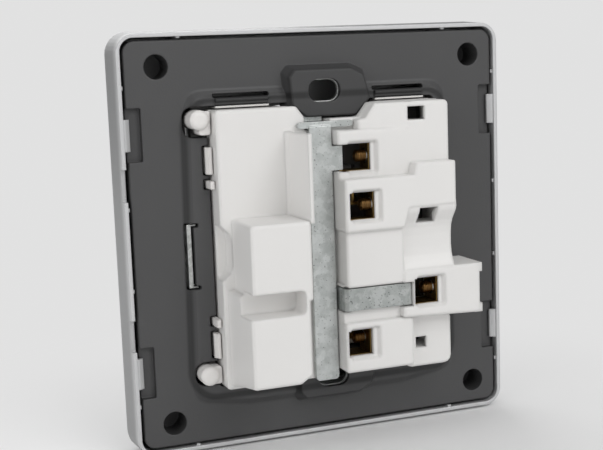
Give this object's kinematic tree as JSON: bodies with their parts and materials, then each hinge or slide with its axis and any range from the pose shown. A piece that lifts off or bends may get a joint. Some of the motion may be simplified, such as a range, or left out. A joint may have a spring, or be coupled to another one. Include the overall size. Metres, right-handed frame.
{
  "type": "switched wall socket",
  "caption": "Switched wall socket shown from behind: trim frame, dark mounting plate, white rear housing with wire clamps, earth strap, shutter and rocker switch.",
  "frame": {"origin": "centre of the trim frame on the wall plane, where the rim of the frame rests", "axes": "+Z is up as pictured, the plug's face looks along -Y and the terminals along +Y; the socket is pictured a quarter turn from the way it is installed, so +X is up on the wall"},
  "size_m": [0.086, 0.03, 0.0874],
  "materials": {
    "trim_grey": "light grey fine-grained moulding",
    "plate_dark": "dark grey satin moulding",
    "support_steel": "zinc-plated pressed steel",
    "cover_face": "smooth light grey moulding",
    "rocker_face": "smooth light grey moulding",
    "white_small": "white moulding",
    "white_module": "white satin moulding",
    "white_housing": "white satin moulding",
    "strap_steel": "spangled galvanised strip",
    "contact_brass": "rolled brass strip",
    "clamp_brass": "cut brass cage",
    "screw_steel": "zinc-plated slotted screw",
    "spring_steel": "drawn spring wire"
  },
  "bodies": {
    "socket": {"outer_frame": "trim_grey", "mounting_plate": "plate_dark", "steel_support": "support_steel", "front_cover": "cover_face", "module_body": "white_module", "rear_housing": "white_housing", "earth_strap": "strap_steel", "link_strip": "strap_steel", "earth_contact": "contact_brass", "neutral_contact": "contact_brass", "line_contact": "contact_brass", "fixed_contact": "contact_brass", "earth_clamp_upper": "clamp_brass", "neutral_clamp": "clamp_brass", "earth_clamp_side": "clamp_brass", "line_clamp": "clamp_brass", "shutter_spring": "spring_steel"},
    "rocker": {"rocker": "rocker_face", "plunger_spring": "spring_steel"},
    "plunger": {"plunger": "white_small"},
    "seesaw": {"moving_contact": "contact_brass"},
    "shutter": {"shutter": "white_small"},
    "earth_screw_upper": {"earth_screw_upper": "screw_steel"},
    "neutral_screw": {"neutral_screw": "screw_steel"},
    "earth_screw_side": {"earth_screw_side": "screw_steel"},
    "line_screw": {"line_screw": "screw_steel"}
  },
  "joints": [
    {"name": "rocker_pivot", "type": "hinge", "parent": "socket", "child": "rocker", "pos_m": [0.016, -0.0075, -0.02], "axis": [0, 0, -1], "range_deg": [0, 12]},
    {"name": "plunger_slide", "type": "slide", "parent": "rocker", "child": "plunger", "axis": [0.1045, -0.9945, 0], "range_m": [0, 0.0008], "stiffness_N_per_m": 5, "springref_m": -0.001, "deforming": ["plunger_spring"]},
    {"name": "seesaw_pivot", "type": "hinge", "parent": "socket", "child": "seesaw", "pos_m": [0.016, 0.0048, -0.02], "axis": [0, 0, 1], "range_deg": [0, 16]},
    {"name": "shutter_slide", "type": "slide", "parent": "socket", "child": "shutter", "axis": [-1, 0, 0], "range_m": [0, 0.0055], "stiffness_N_per_m": 15, "springref_m": -0.003, "deforming": ["shutter_spring"]},
    {"name": "earth_screw_upper_turn", "type": "hinge", "parent": "socket", "child": "earth_screw_upper", "pos_m": [-0.01465, 0.0056, 0.0166], "axis": [-1, 0, 0], "continuous": true},
    {"name": "neutral_screw_turn", "type": "hinge", "parent": "socket", "child": "neutral_screw", "pos_m": [-0.01395, 0.00905, 0.00685], "axis": [-1, 0, 0], "continuous": true},
    {"name": "earth_screw_side_turn", "type": "hinge", "parent": "socket", "child": "earth_screw_side", "pos_m": [-0.0274, 0.0073, -0.0124], "axis": [-1, 0, 0], "continuous": true},
    {"name": "line_screw_turn", "type": "hinge", "parent": "socket", "child": "line_screw", "pos_m": [-0.0173, 0.0048, -0.02215], "axis": [-1, 0, 0], "continuous": true}
  ],
  "couplings": [
    {"joint": "seesaw_pivot", "follows": "rocker_pivot", "ratio": 1.3333}
  ]
}
